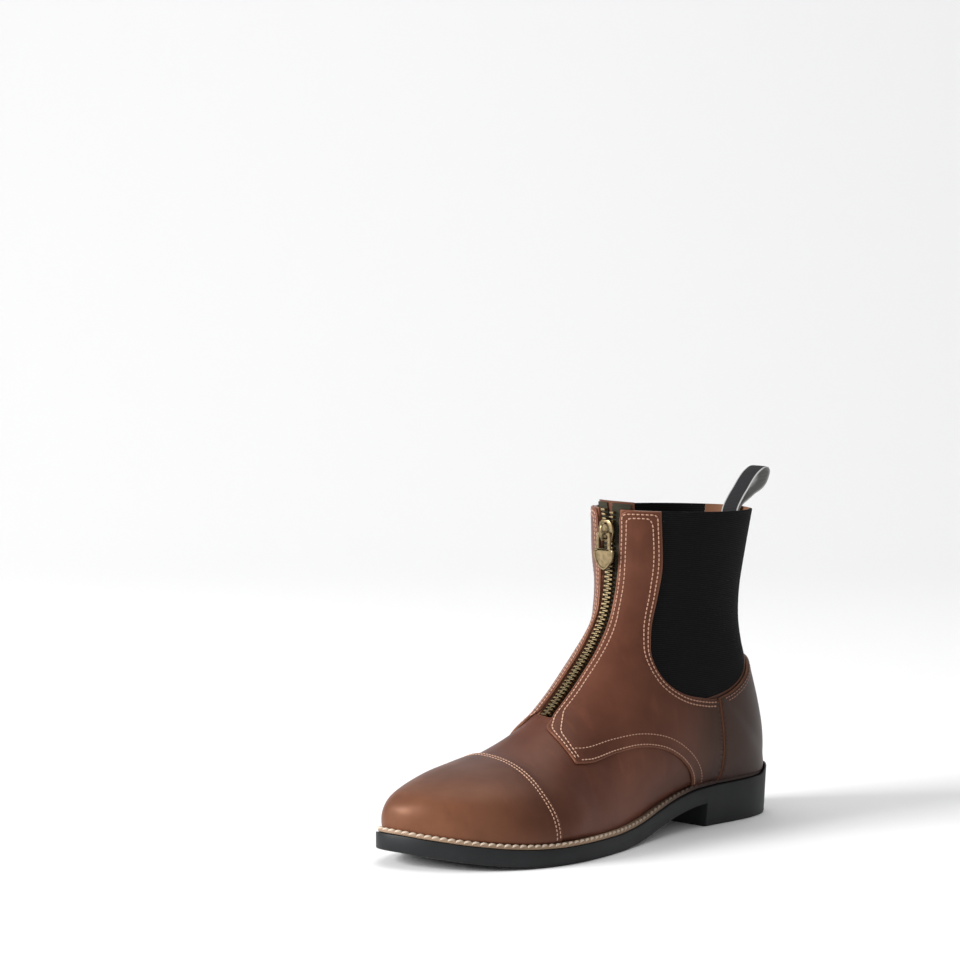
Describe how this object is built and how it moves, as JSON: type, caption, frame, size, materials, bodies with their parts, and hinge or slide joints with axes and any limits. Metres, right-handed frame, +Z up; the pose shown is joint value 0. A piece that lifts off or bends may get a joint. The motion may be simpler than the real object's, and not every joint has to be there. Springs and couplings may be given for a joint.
{
  "type": "paddock boot",
  "caption": "Ankle-high riding boot for the left foot with a stitched toe cap, front zip, elastic side gores, heeled rubber sole and a pull loop at the back.",
  "frame": {"origin": "middle of the boot's box seen from above, at the height of the ground", "axes": "+Y from the toe towards the heel, +X towards the outer side of the left foot, +Z up"},
  "size_m": [0.0966, 0.2886, 0.1965],
  "materials": {
    "rubber_sole": "satin",
    "welt_strip": "matte",
    "insole_board": "matte",
    "upper_leather": "soft gloss",
    "cap_leather": "soft gloss",
    "quarter_leather": "soft gloss",
    "counter_leather": "soft gloss",
    "elastic": "ribbed",
    "zip_tape": "woven",
    "zip_brass": "antique",
    "guard_leather": "soft",
    "webbing": "woven"
  },
  "bodies": {
    "boot": {"outsole": "rubber_sole", "welt": "welt_strip", "insole": "insole_board", "upper": "upper_leather", "toe_cap": "cap_leather", "quarter_outer": "quarter_leather", "quarter_inner": "quarter_leather", "counter": "counter_leather", "gore_outer": "elastic", "gore_inner": "elastic", "zip_tape": "zip_tape", "zip_teeth": "zip_brass", "zip_guard": "guard_leather", "zip_slider": "zip_brass", "pull_loop": "webbing"},
    "pull_tab": {"zip_pull": "zip_brass"}
  },
  "joints": [
    {"name": "pull_tab_hinge", "type": "hinge", "parent": "boot", "child": "pull_tab", "pos_m": [-0.00389, 0.01029, 0.1672], "axis": [-1, 0, 0], "range_deg": [0, 150]}
  ]
}
